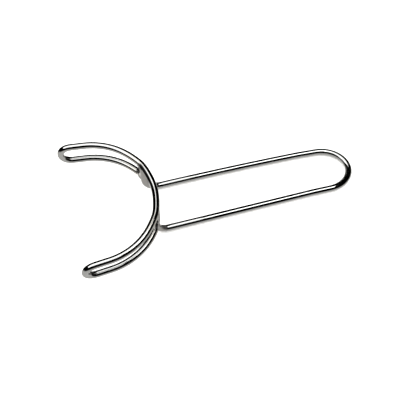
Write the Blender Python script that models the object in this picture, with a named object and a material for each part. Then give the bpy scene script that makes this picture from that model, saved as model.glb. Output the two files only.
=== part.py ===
"""Wire cheek retractor: a loop handle of round wire that carries a C-shaped wire head.

The handle lies flat, and its two ends turn up into uprights. The head is a second wire: a bow
on top, a round vertical tip at each end of the bow, and a shorter lobe below it that comes back
to the upright. Fillets of braze metal join the uprights to the bow and the lobes to the uprights.

Metres, +Z up. The origin is at the middle of the object's footprint, on the surface it lies on.
The handle points to +X and the mouth of the head to -X. Left is +Y.
"""

import bmesh
import bpy
from math import asin, atan2, cos, hypot, pi, radians, sin, sqrt
from mathutils import Matrix, Vector

# Driving dimensions. Distances between wires are from centre line to centre line.
WIRE_DIAMETER = 0.0032
HANDLE_WIDTH_AT_HEAD = 0.0240
HANDLE_WIDTH_AT_END = 0.0226
HANDLE_LEG_LENGTH = 0.0893      # upright to the start of the rounded end
HANDLE_END_LENGTH = 0.0137      # the rounded end, half an ellipse
CORNER_RADIUS = 0.0068          # bend from a leg up into its upright
HEAD_RADIUS_X = 0.0296          # bow and lobes follow one ellipse in plan
HEAD_RADIUS_Y = 0.0305
ARC_END_ANGLE = radians(85.0)   # where the ellipse gives way to a straight arm
ARM_LENGTH = 0.0062
LOBE_HEIGHT = 0.0091            # above the handle wire
TIP_HEIGHT = 0.0101             # lobe up to bow, the diameter of the round tip
BRAZE_REACH = 0.0022            # how far a fillet runs along the wire that it collars
BRAZE_SPREAD = 0.0018           # how far it stands out from that wire at its wide end
BRAZE_EDGE = 0.0005             # and at its narrow end
GAP = 0.0003                    # between pieces that touch on the real object

# Fineness of the tubes
TUBE_RESOLUTION = 4
TUBE_SIDES = 4 + 2 * TUBE_RESOLUTION
ARC_STEPS = 16                  # a quarter of the bow, or of a lobe
ROUND_STEPS = 12                # a tip, or half of the handle's rounded end
BEND_STEPS = 8                  # a corner bend

# Sizes that follow from the driving ones
WIRE_RADIUS = WIRE_DIAMETER / 2
FACET_ANGLE = pi / TUBE_SIDES
# A tube's corners lie on a circle that gives the polygon the round wire's area.
TUBE_RADIUS = WIRE_RADIUS * sqrt(2 * FACET_ANGLE / sin(2 * FACET_ANGLE))
BOW_HEIGHT = LOBE_HEIGHT + TIP_HEIGHT
UPRIGHT_Y = HANDLE_WIDTH_AT_HEAD / 2
LEG_SLOPE = atan2(UPRIGHT_Y - HANDLE_WIDTH_AT_END / 2, HANDLE_LEG_LENGTH)
UPRIGHT_ANGLE = asin(UPRIGHT_Y / HEAD_RADIUS_Y)
TIP_RADIUS = TIP_HEIGHT / 2

# The uprights stand at x = upright_x, and the footprint is centred on the origin.
HEAD_BACK = HEAD_RADIUS_X * (cos(UPRIGHT_ANGLE) - cos(ARC_END_ANGLE))
ARM_SLOPE = atan2(HEAD_RADIUS_Y * cos(ARC_END_ANGLE), HEAD_RADIUS_X * sin(ARC_END_ANGLE))
REACH_TO_TIPS = HEAD_BACK + ARM_LENGTH * cos(ARM_SLOPE) + TIP_RADIUS * cos(ARM_SLOPE)
REACH_TO_END = HANDLE_LEG_LENGTH + HANDLE_END_LENGTH
UPRIGHT_X = (REACH_TO_TIPS - REACH_TO_END) / 2
HEAD_CENTRE_X = UPRIGHT_X - HEAD_RADIUS_X * cos(UPRIGHT_ANGLE)
HANDLE_Z = TUBE_RADIUS * cos(FACET_ANGLE)
LOBE_Z = HANDLE_Z + LOBE_HEIGHT
BOW_Z = HANDLE_Z + BOW_HEIGHT
UPRIGHT_TOP_Z = BOW_Z - TUBE_RADIUS - GAP

STEEL_COLOUR = (0.78, 0.77, 0.75, 1.0)
BRAZE_COLOUR = (0.62, 0.60, 0.57, 1.0)


def clear_scene():
    for obj in list(bpy.data.objects):
        bpy.data.objects.remove(obj, do_unlink=True)


def new_collection(name):
    collection = bpy.data.collections.new(name)
    bpy.context.scene.collection.children.link(collection)
    return collection


def metal(name, colour, roughness):
    material = bpy.data.materials.new(name)
    material.use_nodes = True
    shader = material.node_tree.nodes["Principled BSDF"]
    shader.inputs["Base Color"].default_value = colour
    shader.inputs["Metallic"].default_value = 1.0
    shader.inputs["Roughness"].default_value = roughness
    return material


def arc_point(angle, z):
    """A point on the head's ellipse; the angle is 0 at the middle of the bow."""
    x = HEAD_CENTRE_X + HEAD_RADIUS_X * cos(angle)
    return Vector((x, HEAD_RADIUS_Y * sin(angle), z))


def arc_heading(angle):
    """The direction of the ellipse at an angle, towards the left tip."""
    return Vector((-HEAD_RADIUS_X * sin(angle), HEAD_RADIUS_Y * cos(angle), 0)).normalized()


def lobe_start_angle():
    """The lobe's cut end stops a gap short of the upright's side."""
    clearance = TUBE_RADIUS + GAP
    speed = hypot(HEAD_RADIUS_X * sin(UPRIGHT_ANGLE), HEAD_RADIUS_Y * cos(UPRIGHT_ANGLE))
    return UPRIGHT_ANGLE + clearance / speed


def mirrored(points):
    """The same points on the other side, in reverse order."""
    return [Vector((p.x, -p.y, p.z)) for p in reversed(points)]


def handle_half():
    """From the top of the left upright, down and along the leg, to the middle of the far end."""
    points = [Vector((UPRIGHT_X, UPRIGHT_Y, UPRIGHT_TOP_Z))]
    leg_end = Vector((UPRIGHT_X + HANDLE_LEG_LENGTH, HANDLE_WIDTH_AT_END / 2, HANDLE_Z))
    corner = Vector((UPRIGHT_X, UPRIGHT_Y, HANDLE_Z))
    along_leg = (leg_end - corner).normalized()
    centre = corner + CORNER_RADIUS * (along_leg + Vector((0, 0, 1)))
    for step in range(BEND_STEPS + 1):
        turn = pi / 2 * step / BEND_STEPS
        offset = -along_leg * cos(turn) - Vector((0, 0, sin(turn)))
        points.append(centre + CORNER_RADIUS * offset)
    for step in range(ROUND_STEPS + 1):
        turn = pi / 2 * step / ROUND_STEPS
        x = leg_end.x + HANDLE_END_LENGTH * sin(turn)
        points.append(Vector((x, leg_end.y * cos(turn), HANDLE_Z)))
    return points


def handle_points():
    half = handle_half()
    return half + mirrored(half)[1:]


def head_half():
    """From the left lobe's cut end, round the tip, to the middle of the bow."""
    start = lobe_start_angle()
    span = ARC_END_ANGLE - start
    points = [arc_point(start + span * step / ARC_STEPS, LOBE_Z) for step in range(ARC_STEPS + 1)]
    heading = arc_heading(ARC_END_ANGLE)
    arm_end = points[-1] + heading * ARM_LENGTH
    for step in range(ROUND_STEPS + 1):
        turn = pi * step / ROUND_STEPS
        rise = Vector((0, 0, TIP_RADIUS * (1 - cos(turn))))
        points.append(arm_end + heading * TIP_RADIUS * sin(turn) + rise)
    for step in range(ARC_STEPS + 1):
        points.append(arc_point(ARC_END_ANGLE * (1 - step / ARC_STEPS), BOW_Z))
    return points


def head_points():
    half = head_half()
    return half + mirrored(half)[1:]


def wire(name, points, radius, tilt, material, collection):
    """A tube along the points; the tilt turns a facet to face down where it runs level."""
    curve = bpy.data.curves.new(name, "CURVE")
    curve.dimensions = "3D"
    curve.bevel_depth = radius
    curve.bevel_resolution = TUBE_RESOLUTION
    curve.use_fill_caps = True
    spline = curve.splines.new("POLY")
    spline.points.add(len(points) - 1)
    for place, point in zip(points, spline.points):
        point.co = (*place, 1)
        point.tilt = tilt
    curve.materials.append(material)
    obj = bpy.data.objects.new(name, curve)
    collection.objects.link(obj)
    return obj


def mesh_from(obj, collection):
    """Replace a curve object by a welded mesh object of the same name."""
    evaluated = obj.evaluated_get(bpy.context.evaluated_depsgraph_get())
    mesh = bpy.data.meshes.new_from_object(evaluated)
    shape = bmesh.new()
    shape.from_mesh(mesh)
    bmesh.ops.remove_doubles(shape, verts=shape.verts, dist=1e-6)
    shape.to_mesh(mesh)
    shape.free()
    name = obj.name
    solid = bpy.data.objects.new(name, mesh)
    solid.matrix_world = obj.matrix_world
    bpy.data.objects.remove(obj, do_unlink=True)
    solid.name = name
    collection.objects.link(solid)
    return solid


def cutter_wire(name, points, tilt, material, collection):
    """A wire that is fatter by the gap, for cutting the braze fillets."""
    bpy.context.view_layer.update()
    curve = wire(name, points, TUBE_RADIUS + GAP, tilt, material, collection)
    solid = mesh_from(curve, collection)
    solid.hide_render = True
    solid.display_type = "WIRE"
    return solid


def fillet(name, joint, inward, cutters, material, collection):
    """A flared collar round a wire's end, cut to clear both wires.

    joint is on the centre line of the wire that the end meets, and inward points from there
    back along the wire that ends.
    """
    narrow_end = TUBE_RADIUS + GAP + BRAZE_REACH
    shape = bmesh.new()
    bmesh.ops.create_cone(
        shape, cap_ends=True, segments=2 * TUBE_SIDES,
        radius1=TUBE_RADIUS + BRAZE_SPREAD, radius2=TUBE_RADIUS + BRAZE_EDGE,
        depth=narrow_end, matrix=Matrix.Translation((0, 0, narrow_end / 2)))
    mesh = bpy.data.meshes.new(name)
    shape.to_mesh(mesh)
    shape.free()
    mesh.materials.append(material)
    mesh.shade_smooth()
    mesh.set_sharp_from_angle(angle=radians(40))
    obj = bpy.data.objects.new(name, mesh)
    turn = inward.to_track_quat("Z", "Y").to_matrix().to_4x4()
    obj.matrix_world = Matrix.Translation(joint) @ turn
    collection.objects.link(obj)
    for cutter in cutters:
        cut = obj.modifiers.new("clear_" + cutter.name, "BOOLEAN")
        cut.operation = "DIFFERENCE"
        cut.solver = "EXACT"
        cut.object = cutter
    return obj


def main():
    clear_scene()
    parts = new_collection("cheek_retractor")
    tools = new_collection("cutters")
    steel = metal("polished_steel", STEEL_COLOUR, 0.12)
    braze = metal("braze_metal", BRAZE_COLOUR, 0.35)
    clearance = metal("clearance", BRAZE_COLOUR, 0.5)

    # The handle's tube starts at an upright, and its legs run at a slope to it.
    handle_tilt = FACET_ANGLE + LEG_SLOPE
    wire("handle_wire", handle_points(), TUBE_RADIUS, handle_tilt, steel, parts)
    wire("head_wire", head_points(), TUBE_RADIUS, FACET_ANGLE, steel, parts)

    # The longer handle cutter runs up into the bow, so its end leaves no step in the fillet.
    handle_room = [point.copy() for point in handle_points()]
    handle_room[0].z = handle_room[-1].z = BOW_Z
    handle_cutter = cutter_wire("handle_room", handle_room, handle_tilt, clearance, tools)
    head_cutter = cutter_wire("head_room", head_points(), FACET_ANGLE, clearance, tools)
    cutters = (handle_cutter, head_cutter)

    for side, sign in (("left", 1), ("right", -1)):
        under_bow = Vector((UPRIGHT_X, sign * UPRIGHT_Y, BOW_Z))
        fillet(side + "_bow_braze", under_bow, Vector((0, 0, -1)), cutters, braze, parts)
        beside_upright = Vector((UPRIGHT_X, sign * UPRIGHT_Y, LOBE_Z))
        heading = arc_heading(lobe_start_angle())
        heading.y *= sign
        fillet(side + "_lobe_braze", beside_upright, heading, cutters, braze, parts)


main()
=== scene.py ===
"""Looks for the wire cheek retractor: fine polished wires, braze metal, plain studio."""

import math

import bpy
import numpy as np
from mathutils import Matrix, Vector


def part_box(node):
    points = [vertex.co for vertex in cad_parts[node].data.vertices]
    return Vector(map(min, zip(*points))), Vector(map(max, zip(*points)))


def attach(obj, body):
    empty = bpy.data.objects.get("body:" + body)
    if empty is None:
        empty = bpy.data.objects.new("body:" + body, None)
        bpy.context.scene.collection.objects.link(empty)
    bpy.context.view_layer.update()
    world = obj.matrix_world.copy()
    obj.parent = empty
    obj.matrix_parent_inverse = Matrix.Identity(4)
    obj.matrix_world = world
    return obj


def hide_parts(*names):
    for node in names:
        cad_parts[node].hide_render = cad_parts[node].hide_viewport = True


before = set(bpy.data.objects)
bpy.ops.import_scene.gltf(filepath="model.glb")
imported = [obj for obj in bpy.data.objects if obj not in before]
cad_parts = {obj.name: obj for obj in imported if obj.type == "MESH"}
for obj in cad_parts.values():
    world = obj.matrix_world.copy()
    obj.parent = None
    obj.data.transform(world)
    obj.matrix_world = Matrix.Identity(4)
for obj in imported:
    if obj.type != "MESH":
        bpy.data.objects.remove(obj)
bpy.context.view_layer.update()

# The wires' sizes, as in the CAD model, in metres. Distances are between centre lines.
WIRE_RADIUS = 0.0016
HANDLE_WIDTH_AT_HEAD = 0.0240
HANDLE_WIDTH_AT_END = 0.0226
HANDLE_LEG_LENGTH = 0.0893
HANDLE_END_LENGTH = 0.0137
HEAD_RADIUS_X = 0.0296
HEAD_RADIUS_Y = 0.0305
ARC_END_ANGLE = math.radians(85.0)
ARM_LENGTH = 0.0062
LOBE_HEIGHT = 0.0091
TIP_HEIGHT = 0.0101

# Small departures from the CAD lines, as a hand-bent wire has
LEFT_LEG_BULGE = 0.00055        # the left leg bows outwards
END_LEAN = 0.00065              # the handle's rounded end leans to the right
LEAN_BEFORE_END = 0.4           # of which this share is reached where the legs end
HEAD_LEAN = 0.0004              # both tips lean to the left
HEAD_LEAN_POWER = 1.5           # more and more towards the tips
BOW_SPREAD = 0.00045            # the bow is a little wider than in the CAD model
LOBE_STRETCH = 0.0014           # the lobes are bent to a longer ellipse, set further forward
LOBE_SHIFT = 0.0006
LEFT_LOBE_SPREAD = 0.00025      # and the left one is a little wider
BOW_SWELL = 0.0003              # the bow turns more sharply over each upright
SWELL_ANGLE = 0.13
SWELL_PAST_UPRIGHT = 0.04
RIGHT_UPRIGHT_LEAN = 0.00045    # the right upright's top leans back towards the handle
LEAN_START = 0.3                # it starts at this share of the lobe's height
LEFT_CORNER_RADIUS = 0.0083     # the left leg is bent up more gently than in the CAD model
RIGHT_CORNER_RADIUS = 0.0062    # and the right one more sharply
LOBE_END_GAP = 0.0012           # from a lobe's rounded end to the upright, filled with braze

# Where the CAD model stands
handle_low, handle_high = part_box("handle_wire")
head_low, head_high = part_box("head_wire")
CAD_TUBE_RADIUS = (head_high.z - handle_low.z - LOBE_HEIGHT - TIP_HEIGHT) / 2
UPRIGHT_X = handle_low.x + CAD_TUBE_RADIUS
UPRIGHT_Y = HANDLE_WIDTH_AT_HEAD / 2
HANDLE_Z = handle_low.z + CAD_TUBE_RADIUS
LOBE_Z = HANDLE_Z + LOBE_HEIGHT
BOW_Z = LOBE_Z + TIP_HEIGHT
UPRIGHT_ANGLE = math.asin(UPRIGHT_Y / HEAD_RADIUS_Y)
HEAD_CENTRE_X = UPRIGHT_X - HEAD_RADIUS_X * math.cos(UPRIGHT_ANGLE)
HEAD_REACH = UPRIGHT_X - head_low.x
FLOOR_GAP = 0.0001              # keeps the floor's plane just below the wire
FLOOR_Z = handle_low.z - FLOOR_GAP

# Fineness of the wires' meshes
SIDES = 48
RING_STEP = 0.0004
LINE_STEPS = 240                # points along each arc, before they are spaced evenly
DOME_RINGS = 8
DOME_ANGLE = math.radians(88)   # leaves a tiny flat that closes each dome
EASING_ROUNDS = 8
ARM_HEADING_STEP = 0.01         # how far back along the bow its heading is measured, at a tip
TIP_HEADING_STEP = 0.05         # and how far forward, at an upright
LOBE_SEARCH_STEP = 0.001        # all three in radians

# How far brazing has marked the wires. The matt film is measured from an upright's axis,
# and the heat tint from a place beside it, near the lobe's end.
MATT_START = 0.0036
MATT_END = 0.0052
TINT_START = 0.004
TINT_END = 0.009
TINT_FORWARD = 0.006            # from the upright's axis to that place
TINT_OUTWARD = 0.003
RIGHT_PITS = [                              # two pits in the right braze, with painted shade inside them
    Vector((UPRIGHT_X + 0.0002, -UPRIGHT_Y - 0.0021, LOBE_Z + 0.0036)),
    Vector((UPRIGHT_X - 0.0004, -UPRIGHT_Y - 0.0030, LOBE_Z + 0.0025))]
PIT_RADIUS = 0.00045
PIT_EDGE = 0.00025
# Where a painted dark reflection lies on the bow's inner flank, in the corner over the left web
PAINTED_REFLECTION_ANGLES = (0.04, 0.14, 0.44, 0.50)     # it begins, is full, is last full, and ends
PAINTED_REFLECTION_INWARDS = (0.00025, 0.00065)          # it begins and is full this far inside the bow's line


def bow_point(angle):
    """A point on the bow's centre line; the angle is 0 at its middle, and positive to the left."""
    past_upright = (abs(angle) - UPRIGHT_ANGLE - SWELL_PAST_UPRIGHT) / SWELL_ANGLE
    swell = BOW_SWELL * math.exp(-past_upright ** 2)
    x = HEAD_CENTRE_X + (HEAD_RADIUS_X + swell) * math.cos(angle)
    return Vector((x, (HEAD_RADIUS_Y + BOW_SPREAD + swell) * math.sin(angle), BOW_Z))


def lobe_point(angle, spread):
    """A point on a lobe's centre line, at the same kind of angle."""
    x = HEAD_CENTRE_X - LOBE_SHIFT + (HEAD_RADIUS_X + LOBE_STRETCH) * math.cos(angle)
    return Vector((x, (HEAD_RADIUS_Y + spread) * math.sin(angle), LOBE_Z))


def lobe_start(spread):
    """The angle at which a lobe's rounded end is its gap away from the upright."""
    upright = Vector((UPRIGHT_X, UPRIGHT_Y, LOBE_Z))
    angle = UPRIGHT_ANGLE
    while (lobe_point(angle, spread) - upright).length < 2 * WIRE_RADIUS + LOBE_END_GAP:
        angle += LOBE_SEARCH_STEP
    return angle


def mirrored(points):
    """The right half of a line from its left half, ready to follow on from it."""
    return [Vector((p.x, -p.y, p.z)) for p in reversed(points)]


def evenly(points, step):
    """Points about a step apart along the line."""
    lengths = [0.0]
    for a, b in zip(points, points[1:]):
        lengths.append(lengths[-1] + (b - a).length)
    count = round(lengths[-1] / step)
    spaced = []
    i = 0
    for n in range(count + 1):
        s = lengths[-1] * n / count
        while i < len(lengths) - 2 and lengths[i + 1] < s:
            i += 1
        t = (s - lengths[i]) / (lengths[i + 1] - lengths[i])
        spaced.append(points[i].lerp(points[i + 1], min(1.0, t)))
    return spaced


def eased(points):
    """Let each bend run gently into the next stretch."""
    for _ in range(EASING_ROUNDS):
        inner = [(a + 2 * b + c) / 4 for a, b, c in zip(points, points[1:], points[2:])]
        points = [points[0]] + inner + [points[-1]]
    return points


def hand_bent_handle(point):
    """Where hand bending left a point of the handle's line."""
    along = (point.x - UPRIGHT_X) / HANDLE_LEG_LENGTH
    half_way = 4 * along * max(0.0, 1 - along)
    bulge = LEFT_LEG_BULGE * half_way if point.y > 0 else 0.0
    past_leg = (point.x - UPRIGHT_X - HANDLE_LEG_LENGTH) / HANDLE_END_LENGTH
    lean = END_LEAN * max(0.0, past_leg * (1 - LEAN_BEFORE_END) + LEAN_BEFORE_END)
    up = min(1.0, max(0.0, (point.z - HANDLE_Z) / LOBE_HEIGHT - LEAN_START))
    back = RIGHT_UPRIGHT_LEAN * up * up if point.y < 0 else 0.0
    return Vector((point.x + back, point.y + bulge - lean, point.z))


def hand_bent_head(point):
    """Where hand bending left a point of the head's line."""
    forward = max(0.0, (UPRIGHT_X - point.x) / HEAD_REACH)
    return Vector((point.x, point.y + HEAD_LEAN * forward ** HEAD_LEAN_POWER, point.z))


def handle_half(corner_radius):
    """The left half of the handle wire's centre line, from the upright's top to the far end."""
    half = [Vector((UPRIGHT_X, UPRIGHT_Y, BOW_Z))]
    leg_end = Vector((UPRIGHT_X + HANDLE_LEG_LENGTH, HANDLE_WIDTH_AT_END / 2, HANDLE_Z))
    corner = Vector((UPRIGHT_X, UPRIGHT_Y, HANDLE_Z))
    along = (leg_end - corner).normalized()
    centre = corner + corner_radius * (along + Vector((0, 0, 1)))
    for step in range(LINE_STEPS + 1):
        turn = math.pi / 2 * step / LINE_STEPS
        spoke = -along * math.cos(turn) - Vector((0, 0, math.sin(turn)))
        half.append(centre + corner_radius * spoke)
    for step in range(LINE_STEPS + 1):
        turn = math.pi / 2 * step / LINE_STEPS
        x = leg_end.x + HANDLE_END_LENGTH * math.sin(turn)
        half.append(Vector((x, leg_end.y * math.cos(turn), HANDLE_Z)))
    return half


def handle_line():
    """The handle wire's centre line, from the left upright's top to the right one's."""
    points = handle_half(LEFT_CORNER_RADIUS) + mirrored(handle_half(RIGHT_CORNER_RADIUS))[1:]
    return eased([hand_bent_handle(p) for p in evenly(points, RING_STEP)])


def head_half(lobe_spread):
    """The left half of the head wire's centre line, from the lobe's end to the bow's middle."""
    start = lobe_start(lobe_spread)
    span = ARC_END_ANGLE - start
    turns = [step / LINE_STEPS for step in range(LINE_STEPS + 1)]
    half = [lobe_point(start + span * t, lobe_spread) for t in turns]
    bow_end = bow_point(ARC_END_ANGLE)
    heading = (bow_end - bow_point(ARC_END_ANGLE - ARM_HEADING_STEP)).normalized()
    upper = bow_end + heading * ARM_LENGTH
    arm = (upper.x - half[-1].x) / heading.x
    lower = half[-1] + heading * arm
    middle = (upper + lower) / 2
    to_lower = (lower - upper) / 2
    for t in turns:
        outwards = heading * (TIP_HEIGHT / 2) * math.sin(math.pi * t)
        half.append(middle + to_lower * math.cos(math.pi * t) + outwards)
    return half + [bow_point(ARC_END_ANGLE * (1 - t)) for t in turns]


def head_line():
    """The head wire's centre line, from the left lobe's end round both tips to the right one's."""
    points = head_half(LEFT_LOBE_SPREAD) + mirrored(head_half(0.0))[1:]
    return eased([hand_bent_head(p) for p in evenly(points, RING_STEP)])


def share(value, low, high):
    """How far the value has come from low to high, between 0 and 1."""
    return min(1.0, max(0.0, (value - low) / (high - low)))


def marks(place, brazed_over):
    """How far brazing has marked the wire at a place: its heat tint, and its matt film of braze."""
    away = math.hypot(place.x - UPRIGHT_X, abs(place.y) - UPRIGHT_Y)
    from_heat = math.hypot(
        place.x - UPRIGHT_X + TINT_FORWARD, abs(place.y) - UPRIGHT_Y - TINT_OUTWARD)
    tint = 1 - share(from_heat, TINT_START, TINT_END)
    matt = 1 - share(away, MATT_START, MATT_END)
    return tint, matt if brazed_over else 0.0


def oxide(place):
    """How strong the painted dark reflection is at a spot on the bow's inner flank, in the corner over
    the web.
    """
    if place.y < 0 or place.z < BOW_Z - WIRE_RADIUS:
        return 0.0
    angle = math.atan2(place.y / HEAD_RADIUS_Y, (place.x - HEAD_CENTRE_X) / HEAD_RADIUS_X)
    begins, full, last_full, ends = PAINTED_REFLECTION_ANGLES
    along = min(share(angle, begins, full), share(angle, ends, last_full))
    line = bow_point(angle)
    inwards = math.hypot(line.x - HEAD_CENTRE_X, line.y) - math.hypot(
        place.x - HEAD_CENTRE_X, place.y)
    return along * share(inwards, *PAINTED_REFLECTION_INWARDS)


def flux(place):
    """How strong the painted shade is at a spot, in and round the pits."""
    nearest = min((place - pit).length for pit in RIGHT_PITS)
    return 1 - share(nearest, PIT_RADIUS, PIT_RADIUS + PIT_EDGE)


def add_piece(name, verts, faces, **attributes):
    """A smooth object with the faces, and with a number for each vertex in each attribute."""
    mesh = bpy.data.meshes.new(name)
    mesh.from_pydata(verts, [], faces)
    for key, values in attributes.items():
        mesh.attributes.new(key, "FLOAT", "POINT").data.foreach_set("value", values)
    mesh.shade_smooth()
    obj = bpy.data.objects.new(name, mesh)
    bpy.context.scene.collection.objects.link(obj)
    return obj


def tube(name, points, domed, brazed_over):
    """A round wire along the points, with its ends rounded or flat.

    The wire_place attribute holds a place round the wire and the distance along it, so that
    a material's drawing lines can follow the wire. The heat_tint and matt_film attributes hold
    what brazing has left on the wire: a tint, and a film where braze metal runs over it. A third
    attribute holds painted shade in and round the pits and, where no braze runs over the wire,
    a painted dark reflection on the bow's inner flank over the web.
    """
    tangents = []
    for i in range(len(points)):
        a = points[max(0, i - 1)]
        b = points[min(len(points) - 1, i + 1)]
        tangents.append((b - a).normalized())
    rings = []
    side = tangents[0].orthogonal().normalized()
    for i, (point, tangent) in enumerate(zip(points, tangents)):
        if i:
            side = tangents[i - 1].rotation_difference(tangent) @ side
            side = (side - side.dot(tangent) * tangent).normalized()
        rings.append((point, WIRE_RADIUS, side, tangent.cross(side)))
    if domed:
        angles = [DOME_ANGLE * (DOME_RINGS - k) / DOME_RINGS for k in range(DOME_RINGS)]
        first, last = rings[0], rings[-1]
        start = [
            (first[0] - tangents[0] * WIRE_RADIUS * math.sin(a), WIRE_RADIUS * math.cos(a), *first[2:])
            for a in angles]
        end = [
            (last[0] + tangents[-1] * WIRE_RADIUS * math.sin(a), WIRE_RADIUS * math.cos(a), *last[2:])
            for a in reversed(angles)]
        rings = start + rings + end

    verts = []
    places = []
    tints = []
    films = []
    painted_darkness = []
    for i, (centre, radius, side, other) in enumerate(rings):
        tint, matt = marks(centre, brazed_over)
        tints += [tint] * SIDES
        films += [matt] * SIDES
        for k in range(SIDES):
            a = 2 * math.pi * k / SIDES
            vert = centre + radius * (math.cos(a) * side + math.sin(a) * other)
            verts.append(vert)
            # Painted shade round the pits, and a painted dark reflection on the bow where no braze
            # runs over it
            painted_darkness.append(max(flux(vert), 0.0 if brazed_over else oxide(vert)))
            places += [WIRE_RADIUS * math.cos(a), WIRE_RADIUS * math.sin(a), i * RING_STEP]
    faces = []
    for i in range(len(rings) - 1):
        row = i * SIDES
        for k in range(SIDES):
            n = (k + 1) % SIDES
            faces.append((row + k, row + n, row + SIDES + n, row + SIDES + k))
    faces.append(tuple(reversed(range(SIDES))))
    faces.append(tuple(range((len(rings) - 1) * SIDES, len(rings) * SIDES)))
    obj = add_piece(name, verts, faces, heat_tint=tints, matt_film=films, dark_oxide=painted_darkness)
    wire_place = obj.data.attributes.new("wire_place", "FLOAT_VECTOR", "POINT")
    wire_place.data.foreach_set("vector", places)
    return obj


# Braze metal. Its surface is where a blend of the wires' distance fields is zero.
GRID_STEP = 0.00022
GRID_REACH = (0.0080, 0.0080, 0.0092)       # half the size of the box round a joint
RIM = 2 * GRID_STEP                         # the metal stays this far inside that box
LEFT_BLEND_TOWARDS_TIP = 0.0050             # how far the metal creeps along the wires
RIGHT_BLEND_TOWARDS_TIP = 0.0040
BLEND_TOWARDS_MIDDLE = 0.0018
BLEND_BELOW = 0.0012
BRAZE_LAYER = 0.00004                       # the metal ends this far inside the bare wires
SMOOTHING_ROUNDS = 6
BELOW_BOW_LINE = 0.0010                     # the metal stays this far below the bow's centre line
CAP_ROUNDING = 0.0007
MOST_FACING = 1.6                           # limits the fillet where two surfaces face each other
SMOOTHING_FACTOR = 0.5
NEAR_JOINT = 0.012                          # only this much of each wire shapes the metal
TIPWARDS_RANGE = (-0.0012, 0.0024)          # where the metal's creep changes, towards the tip
ABOVE_LOBE_RANGE = (-0.0016, 0.0012)        # and upwards, from the lobe's centre line


def distance_to(line, grid):
    """For each grid point: the distance to the wire's surface, and the direction away from it."""
    nearest = np.full(len(grid), np.inf)
    away = np.zeros_like(grid)
    for place in line:
        offset = grid - place
        distance = np.linalg.norm(offset, axis=1)
        closer = distance < nearest
        nearest[closer] = distance[closer]
        away[closer] = offset[closer] / distance[closer, None]
    return nearest - WIRE_RADIUS, away


def blend(a, b, reach):
    """The union of two fields, with a fillet where their surfaces meet at an angle."""
    facing = np.clip(1 - np.sum(a[1] * b[1], axis=1), 0, MOST_FACING)
    width = np.maximum(reach * facing, 1e-6)
    overlap = np.maximum(width - np.abs(a[0] - b[0]), 0) / width
    return np.minimum(a[0], b[0]) - overlap ** 2 * width / 4


def smooth_step(low, high, value):
    """0 up to low, 1 from high, and a smooth rise between."""
    t = np.clip((value - low) / (high - low), 0, 1)
    return t * t * (3 - 2 * t)


def softened(field):
    """The field with each value mixed with its neighbours', which fills hair-thin crevices."""
    for axis in range(3):
        wide = np.pad(field, [(1, 1) if n == axis else (0, 0) for n in range(3)], mode="edge")
        count = field.shape[axis]
        before = wide.take(range(0, count), axis)
        after = wide.take(range(2, count + 2), axis)
        field = (before + 2 * field + after) / 4
    return field


def net_over(field, origin, step):
    """A closed quad mesh round the places where the field is negative."""
    shape = np.array(field.shape) - 1
    inside = field < 0
    total = np.zeros((*shape, 3))
    count = np.zeros(shape)

    def corner(i, j, k, values):
        """The values at one corner of every cell."""
        return values[i:i + shape[0], j:j + shape[1], k:k + shape[2]]

    for axis in range(3):
        across = [n for n in range(3) if n != axis]
        for u in (0, 1):
            for v in (0, 1):
                near = [0, 0, 0]
                near[across[0]] = u
                near[across[1]] = v
                far = list(near)
                far[axis] = 1
                f0, f1 = corner(*near, field), corner(*far, field)
                crossed = corner(*near, inside) != corner(*far, inside)
                t = np.where(crossed, f0 / np.where(crossed, f0 - f1, 1), 0)
                place = np.array(near, float) + t[..., None] * np.eye(3)[axis]
                total += crossed[..., None] * place
                count += crossed
    cells = np.argwhere(count > 0)
    offsets = total[tuple(cells.T)] / count[tuple(cells.T)][:, None]
    verts = origin + (cells + offsets) * step
    index = np.full(shape, -1)
    index[tuple(cells.T)] = np.arange(len(cells))

    faces = []
    for axis in range(3):
        u, v = [(1, 2), (2, 0), (0, 1)][axis]
        low = inside.take(range(0, field.shape[axis] - 1), axis)
        high = inside.take(range(1, field.shape[axis]), axis)
        for edge in np.argwhere(low != high):
            if edge[u] == 0 or edge[v] == 0:
                continue
            ring = []
            for du, dv in ((0, 0), (-1, 0), (-1, -1), (0, -1)):
                cell = edge.copy()
                cell[u] += du
                cell[v] += dv
                ring.append(int(index[tuple(cell)]))
            faces.append(ring if low[tuple(edge)] else ring[::-1])
    return verts, faces


def near_joint(points, joint):
    """The points that are near enough to a joint to shape its metal."""
    reach = NEAR_JOINT
    return [p for p in points if abs(p.x - joint[0]) < reach and abs(p.y - joint[1]) < reach]


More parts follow.
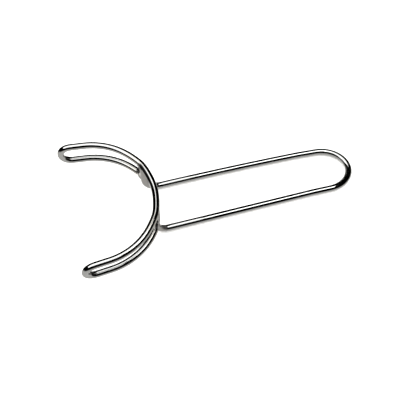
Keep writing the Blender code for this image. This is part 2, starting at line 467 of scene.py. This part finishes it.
def braze_field(sign, joint, grid, handle, head):
    """For each grid point: a value that is negative inside one side's braze metal."""
    upright = near_joint(handle, joint)
    bow = [p for p in near_joint(head, joint) if p.z > joint[2]]
    lobe = [p for p in near_joint(head, joint) if p.z <= joint[2]]
    upright, bow, lobe = (distance_to(np.array(line), grid) for line in (upright, bow, lobe))

    to_tip = bow_point(UPRIGHT_ANGLE + TIP_HEADING_STEP) - bow_point(UPRIGHT_ANGLE)
    to_tip = np.array((to_tip.x, sign * to_tip.y, 0)) / to_tip.length
    tipwards = smooth_step(*TIPWARDS_RANGE, (grid - joint) @ to_tip)
    creep = LEFT_BLEND_TOWARDS_TIP if sign > 0 else RIGHT_BLEND_TOWARDS_TIP
    upper = BLEND_TOWARDS_MIDDLE + (creep - BLEND_TOWARDS_MIDDLE) * tipwards
    above = smooth_step(*ABOVE_LOBE_RANGE, grid[:, 2] - LOBE_Z)
    lower = BLEND_BELOW + (creep - BLEND_BELOW) * above
    metal = np.minimum(blend(upright, bow, upper), blend(upright, lobe, lower)) + BRAZE_LAYER

    cap = grid[:, 2] - BOW_Z + BELOW_BOW_LINE
    overlap = np.maximum(CAP_ROUNDING - np.abs(metal - cap), 0) / CAP_ROUNDING
    metal = np.maximum(metal, cap) + overlap ** 2 * CAP_ROUNDING / 4
    for pit in RIGHT_PITS if sign < 0 else ():
        metal = np.maximum(metal, PIT_RADIUS - np.linalg.norm(grid - np.array(pit), axis=1))
    past_rim = np.max(np.abs(grid - joint) - np.array(GRID_REACH), axis=1) + RIM
    return np.maximum(metal, past_rim)


def braze(name, sign, handle, head):
    """One side's braze metal: it joins the upright to the bow above it and the lobe beside it.

    An attribute holds how strong the painted shade is in and round the pits.
    """
    joint = np.array((UPRIGHT_X, sign * UPRIGHT_Y, (LOBE_Z + BOW_Z) / 2))
    counts = [2 * round(reach / GRID_STEP) + 1 for reach in GRID_REACH]
    origin = joint - (np.array(counts) - 1) / 2 * GRID_STEP
    grid = origin + np.argwhere(np.ones(counts)) * GRID_STEP
    metal = softened(braze_field(sign, joint, grid, handle, head).reshape(counts))

    verts, faces = net_over(metal, origin, GRID_STEP)
    residue = [flux(Vector(vert)) for vert in verts]
    obj = add_piece(name, verts.tolist(), faces, flux_residue=residue)
    soften = obj.modifiers.new("soften", "SMOOTH")
    soften.factor = SMOOTHING_FACTOR
    soften.iterations = SMOOTHING_ROUNDS
    return obj


# Colours of the metals, of what brazing leaves on them, and of painted shade and a painted dark
# reflection
STEEL_COLOURS = ((0.60, 0.60, 0.588, 1), (0.66, 0.66, 0.648, 1))
STRAW_COLOUR = (0.63, 0.61, 0.56, 1)
BRAZE_COLOUR = (0.535, 0.52, 0.50, 1)
BRAZE_MOTTLES = ((0.45, 0.44, 0.425, 1), (0.60, 0.585, 0.56, 1))
SPOT_COLOUR = (0.12, 0.11, 0.10, 1)
# Painted shade round the pits, and a painted dark reflection on the bow's inner flank
PAINTED_SHADE_AND_REFLECTION_COLOUR = (0.03, 0.03, 0.03, 1)
# Painted shade in the pits
PAINTED_PIT_SHADE_COLOUR = (0.006, 0.006, 0.007, 1)
FILM_ROUGHNESS = 0.34


def new_material(name):
    """A material with its nodes, its links and its shader."""
    material = bpy.data.materials.new(name)
    material.use_nodes = True
    nodes = material.node_tree.nodes
    return material, nodes, material.node_tree.links, nodes["Principled BSDF"]


def add_node(nodes, kind, **values):
    """A node with the named properties set; a dictionary under inputs sets its sockets."""
    node = nodes.new(kind)
    for key, value in values.pop("inputs", {}).items():
        node.inputs[key].default_value = value
    for key, value in values.items():
        setattr(node, key, value)
    return node


def colour_over(nodes, links, under, factor, colour):
    """The colour from one node, with another colour laid over it by a factor."""
    node = add_node(nodes, "ShaderNodeMix", data_type="RGBA")
    node.inputs["B"].default_value = colour
    links.new(under, node.inputs["A"])
    links.new(factor, node.inputs["Factor"])
    return node.outputs["Result"]


def mark(nodes, name):
    """How strong a mark that the mesh carries is, as a factor."""
    return add_node(nodes, "ShaderNodeAttribute", attribute_name=name).outputs["Fac"]


def steel():
    """Mirror-polished stainless wire: faint lines along it, and slightly uneven polish."""
    material, nodes, links, shader = new_material("polished_steel_look")
    shader.inputs["Metallic"].default_value = 1.0

    place = add_node(nodes, "ShaderNodeAttribute", attribute_name="wire_place")
    stretch = add_node(nodes, "ShaderNodeMapping")
    stretch.inputs["Scale"].default_value = (1, 1, 0.02)
    links.new(place.outputs["Vector"], stretch.inputs["Vector"])
    lines = add_node(nodes, "ShaderNodeTexNoise", inputs={"Scale": 7000, "Detail": 4})
    links.new(stretch.outputs["Vector"], lines.inputs["Vector"])

    coords = add_node(nodes, "ShaderNodeTexCoord")
    patches = add_node(nodes, "ShaderNodeTexNoise", inputs={"Scale": 260, "Detail": 3})
    links.new(coords.outputs["Object"], patches.inputs["Vector"])

    tone = add_node(nodes, "ShaderNodeMix", data_type="RGBA")
    tone.inputs["A"].default_value, tone.inputs["B"].default_value = STEEL_COLOURS
    links.new(patches.outputs["Fac"], tone.inputs["Factor"])
    film = mark(nodes, "matt_film")
    colour = tone.outputs["Result"]
    colour = colour_over(nodes, links, colour, mark(nodes, "heat_tint"), STRAW_COLOUR)
    colour = colour_over(nodes, links, colour, film, BRAZE_COLOUR)
    # Painted shade round the pits and a painted dark reflection on the bow's inner flank, laid over
    # the steel
    colour = colour_over(nodes, links, colour, mark(nodes, "dark_oxide"), PAINTED_SHADE_AND_REFLECTION_COLOUR)
    links.new(colour, shader.inputs["Base Color"])

    mixed = add_node(nodes, "ShaderNodeMath", operation="MULTIPLY")
    links.new(lines.outputs["Fac"], mixed.inputs[0])
    links.new(patches.outputs["Fac"], mixed.inputs[1])
    roughness = add_node(
        nodes, "ShaderNodeMapRange",
        inputs={"From Min": 0.12, "From Max": 0.42, "To Min": 0.02, "To Max": 0.07})
    links.new(mixed.outputs["Value"], roughness.inputs["Value"])
    matt = add_node(nodes, "ShaderNodeMix", data_type="FLOAT", inputs={"B": FILM_ROUGHNESS})
    links.new(film, matt.inputs["Factor"])
    links.new(roughness.outputs["Result"], matt.inputs["A"])
    links.new(matt.outputs["Result"], shader.inputs["Roughness"])

    bump = add_node(nodes, "ShaderNodeBump", inputs={"Strength": 0.05, "Distance": 0.00002})
    links.new(lines.outputs["Fac"], bump.inputs["Height"])
    links.new(bump.outputs["Normal"], shader.inputs["Normal"])
    return material


def braze_metal():
    """Satin braze metal: mottled, softly rippled, with small dull spots and painted shade in the pits.
    """
    material, nodes, links, shader = new_material("braze_metal_look")
    shader.inputs["Metallic"].default_value = 1.0
    coords = add_node(nodes, "ShaderNodeTexCoord")

    ripples = add_node(nodes, "ShaderNodeTexNoise", inputs={"Scale": 900, "Detail": 4})
    links.new(coords.outputs["Object"], ripples.inputs["Vector"])
    roughness = add_node(
        nodes, "ShaderNodeMapRange",
        inputs={"From Min": 0.3, "From Max": 0.7, "To Min": 0.16, "To Max": 0.3})
    links.new(ripples.outputs["Fac"], roughness.inputs["Value"])
    links.new(roughness.outputs["Result"], shader.inputs["Roughness"])

    spots = add_node(nodes, "ShaderNodeTexVoronoi", inputs={"Scale": 800, "Randomness": 1.0})
    links.new(coords.outputs["Object"], spots.inputs["Vector"])
    between_spots = add_node(
        nodes, "ShaderNodeMapRange", interpolation_type="SMOOTHSTEP",
        inputs={"From Min": 0.12, "From Max": 0.24, "To Min": 0.0, "To Max": 1.0})
    links.new(spots.outputs["Distance"], between_spots.inputs["Value"])

    mottle = add_node(nodes, "ShaderNodeTexNoise", inputs={"Scale": 1500, "Detail": 2})
    links.new(coords.outputs["Object"], mottle.inputs["Vector"])
    cloudy = add_node(
        nodes, "ShaderNodeMapRange",
        inputs={"From Min": 0.35, "From Max": 0.65, "To Min": 0.0, "To Max": 1.0})
    links.new(mottle.outputs["Fac"], cloudy.inputs["Value"])
    metal = add_node(nodes, "ShaderNodeMix", data_type="RGBA")
    metal.inputs["A"].default_value, metal.inputs["B"].default_value = BRAZE_MOTTLES
    links.new(cloudy.outputs["Result"], metal.inputs["Factor"])

    tone = add_node(nodes, "ShaderNodeMix", data_type="RGBA")
    tone.inputs["A"].default_value = SPOT_COLOUR
    links.new(metal.outputs["Result"], tone.inputs["B"])
    links.new(between_spots.outputs["Result"], tone.inputs["Factor"])
    # Painted shade in and round the pits, laid over the braze
    colour = colour_over(
        nodes, links, tone.outputs["Result"], mark(nodes, "flux_residue"), PAINTED_PIT_SHADE_COLOUR)
    links.new(colour, shader.inputs["Base Color"])

    height = add_node(nodes, "ShaderNodeMath", operation="ADD")
    links.new(ripples.outputs["Fac"], height.inputs[0])
    links.new(between_spots.outputs["Result"], height.inputs[1])
    bump = add_node(nodes, "ShaderNodeBump", inputs={"Strength": 0.25, "Distance": 0.00006})
    links.new(height.outputs["Value"], bump.inputs["Height"])
    links.new(bump.outputs["Normal"], shader.inputs["Normal"])
    return material


# The stage. Heights and distances are in metres, angles in degrees.
FLOOR_HALF = 2.0
FLOOR_WHITE = 0.93
CAMERA_ELEVATION = 60.45
CAMERA_SWING = 20.17            # its view turns from +Y towards +X
CAMERA_ROLL = -4.51
CAMERA_DISTANCE = 0.29206
CAMERA_TARGET = Vector((UPRIGHT_X + 0.02695, -0.00651, HANDLE_Z))
CAMERA_LENS = 51.92
SENSOR_WIDTH = 36
PANEL_HEIGHT = 1.0
PANEL_DIFFUSE = 0.05            # the panels shine in the metal and hardly light the floor
WIDE_PANEL = ((-1.4, 0.16), (-0.40, 0.62), 1.9)         # x range, y range, radiance
STRIP_PANEL = ((0.16, 0.51), (-0.21, 0.23), 3.8)

# The world. A direction's x, y and z are those of a unit vector.
SEEN_WHITE = 1.5                # what the eye and the floor get
WORLD_TINT = (1.0, 0.99, 0.965, 1)      # a little warm in reflections, plain white to the eye
TABLE_EDGE = (0.0, -0.31)       # the z where its shine starts, and where it is full
TABLE_END = (0.25, -0.25)       # the far slope where the table ends, and where it is full
TABLE_END_SLANT = 0.86
TABLE_SHINE = 0.58
FAR_GLOW = 3.4
FAR_GLOW_RANGE = (0.3, 0.9)     # the y where the glow beyond the object starts and is full


def make_floor():
    """A plain white floor. The metal reflects the world's lower half in place of it."""
    signs = ((-1, -1), (1, -1), (1, 1), (-1, 1))
    corners = [(FLOOR_HALF * x, FLOOR_HALF * y, FLOOR_Z) for x, y in signs]
    mesh = bpy.data.meshes.new("floor")
    mesh.from_pydata(corners, [], [(0, 1, 2, 3)])
    floor = bpy.data.objects.new("floor", mesh)
    bpy.context.scene.collection.objects.link(floor)
    material, _, _, shader = new_material("white_floor")
    shader.inputs["Base Color"].default_value = (FLOOR_WHITE, FLOOR_WHITE, FLOOR_WHITE, 1)
    shader.inputs["Roughness"].default_value = 0.9
    shader.inputs["Specular IOR Level"].default_value = 0.0
    mesh.materials.append(material)
    floor.visible_glossy = False


def make_camera():
    """The camera, which looks down at the object from its right side."""
    elevation = math.radians(CAMERA_ELEVATION)
    swing = math.radians(CAMERA_SWING)
    roll = math.radians(CAMERA_ROLL)
    forward = Vector((
        math.sin(swing) * math.cos(elevation),
        math.cos(swing) * math.cos(elevation),
        -math.sin(elevation)))
    level = Vector((math.cos(swing), -math.sin(swing), 0))
    up = level.cross(forward)
    right = level * math.cos(roll) - up * math.sin(roll)
    up = level * math.sin(roll) + up * math.cos(roll)
    data = bpy.data.cameras.new("camera")
    data.sensor_width = SENSOR_WIDTH
    data.lens = CAMERA_LENS
    data.clip_start = 0.005
    camera = bpy.data.objects.new("camera", data)
    bpy.context.scene.collection.objects.link(camera)
    placed = Matrix((right, up, -forward)).transposed().to_4x4()
    placed.translation = CAMERA_TARGET - forward * CAMERA_DISTANCE
    camera.matrix_world = placed
    bpy.context.scene.camera = camera


def softbox(name, x_range, y_range, brightness):
    """An overhead panel; the brightness is its radiance."""
    width = x_range[1] - x_range[0]
    depth = y_range[1] - y_range[0]
    data = bpy.data.lights.new(name, "AREA")
    data.shape = "RECTANGLE"
    data.size = width
    data.size_y = depth
    data.energy = brightness * math.pi * width * depth
    data.diffuse_factor = PANEL_DIFFUSE
    panel = bpy.data.objects.new(name, data)
    panel.location = (sum(x_range) / 2, sum(y_range) / 2, PANEL_HEIGHT)
    bpy.context.scene.collection.objects.link(panel)


def smooth_range(nodes, links, source, low, high):
    """A node that rises smoothly from 0 at low to 1 at high."""
    node = add_node(
        nodes, "ShaderNodeMapRange", interpolation_type="SMOOTHSTEP",
        inputs={"From Min": low, "From Max": high})
    links.new(source, node.inputs["Value"])
    return node.outputs["Result"]


def calculate(nodes, links, operation, *values):
    """A maths node; each value is a number or another node's output."""
    node = add_node(nodes, "ShaderNodeMath", operation=operation)
    for socket, value in zip(node.inputs, values):
        if isinstance(value, (int, float)):
            socket.default_value = value
        else:
            links.new(value, socket)
    return node.outputs["Value"]


def make_world():
    """White to the eye and to the floor; in reflections, a dark room round a lit table."""
    world = bpy.data.worlds.new("studio")
    world.use_nodes = True
    nodes, links = world.node_tree.nodes, world.node_tree.links
    background = nodes["Background"]
    coords = add_node(nodes, "ShaderNodeTexCoord")
    direction = add_node(nodes, "ShaderNodeSeparateXYZ")
    links.new(coords.outputs["Generated"], direction.inputs["Vector"])
    y, z = direction.outputs["Y"], direction.outputs["Z"]

    # The table reaches out of sight on the near side, and ends beyond the object on the far side
    below = smooth_range(nodes, links, z, *TABLE_EDGE)
    far_slope = calculate(nodes, links, "MULTIPLY_ADD", z, TABLE_END_SLANT, y)
    within = smooth_range(nodes, links, far_slope, *TABLE_END)
    table = calculate(nodes, links, "MULTIPLY", below, within)
    far_glow = smooth_range(nodes, links, y, *FAR_GLOW_RANGE)
    brightness = calculate(nodes, links, "MULTIPLY_ADD", far_glow, FAR_GLOW, TABLE_SHINE)
    shine = calculate(nodes, links, "MULTIPLY", table, brightness)

    path = add_node(nodes, "ShaderNodeLightPath")
    seen = add_node(nodes, "ShaderNodeMix", data_type="FLOAT")
    seen.inputs["A"].default_value = SEEN_WHITE
    links.new(path.outputs["Is Glossy Ray"], seen.inputs["Factor"])
    links.new(shine, seen.inputs["B"])
    links.new(seen.outputs["Result"], background.inputs["Strength"])
    background.inputs["Color"].default_value = WORLD_TINT
    bpy.context.scene.world = world
    bpy.context.scene.view_settings.view_transform = "Standard"


def main():
    """The two wires, the two masses of braze metal and the stage."""
    steel_look = steel()
    braze_look = braze_metal()
    handle = handle_line()
    head = head_line()
    wires = {
        "handle_wire": tube("handle_wire_fine", handle, domed=False, brazed_over=True),
        "head_wire": tube("head_wire_fine", head, domed=True, brazed_over=False),
    }
    for node, obj in wires.items():
        obj.data.materials.append(steel_look)
        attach(obj, "root")
        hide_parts(node)
    for side, sign in (("left", 1), ("right", -1)):
        metal = braze(side + "_braze_metal", sign, handle, head)
        metal.data.materials.append(braze_look)
        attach(metal, "root")
        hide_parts(side + "_bow_braze", side + "_lobe_braze")

    make_floor()
    make_camera()
    make_world()
    softbox("wide_softbox", *WIDE_PANEL)
    softbox("strip_softbox", *STRIP_PANEL)


main()
